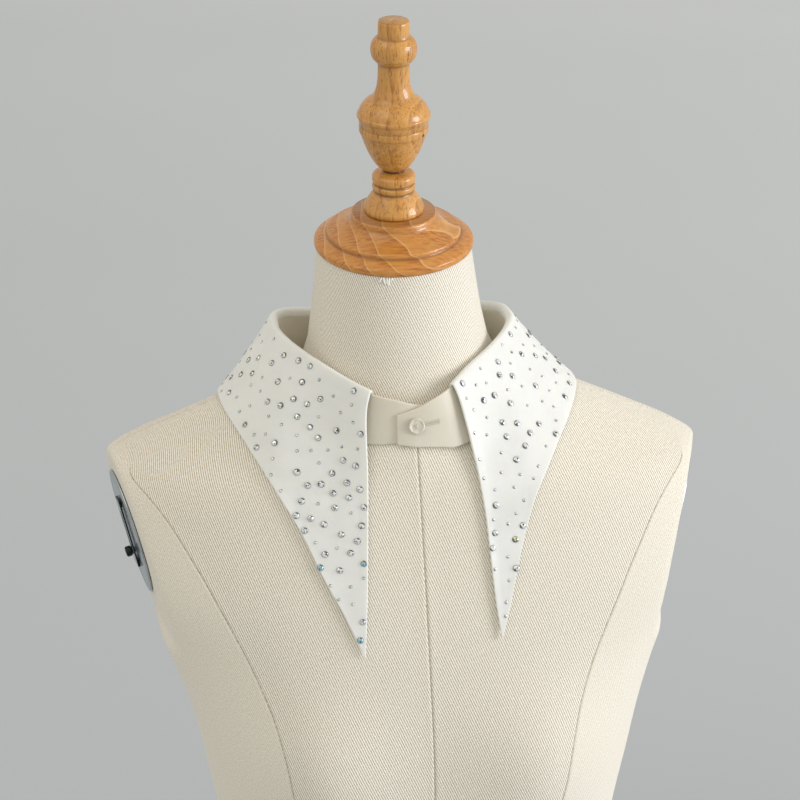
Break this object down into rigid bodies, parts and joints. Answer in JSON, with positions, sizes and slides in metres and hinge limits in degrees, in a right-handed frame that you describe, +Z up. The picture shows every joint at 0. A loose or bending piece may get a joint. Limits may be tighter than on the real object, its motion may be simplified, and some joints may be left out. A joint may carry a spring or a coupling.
{
  "type": "detachable shirt collar on limbless dress form",
  "caption": "Buttoned stand with a pointed, folded-over leaf, worn on a canvas torso form with a turned wood neck cap and finial.",
  "frame": {"origin": "middle of the torso's flat underside, on the surface the form stands on, straight below the neck's cut end", "axes": "+Z up, -Y to the front, +X to the wearer's left"},
  "size_m": [0.3882, 0.2251, 0.7845],
  "materials": {
    "canvas": "ecru cotton twill, matt",
    "wood": "clear gloss lacquer",
    "cotton": "white cotton, pressed, slight sheen",
    "pearl": "translucent polyester",
    "steel": "bright nickel plate"
  },
  "bodies": {
    "root": {"form_torso": "canvas", "neck_cap": "wood", "finial": "wood", "arm_plate_left": "steel", "arm_plate_right": "steel", "arm_bracket": "steel", "arm_screw": "steel", "collar_stand": "cotton", "collar_leaf": "cotton", "front_button": "pearl"}
  },
  "joints": []
}
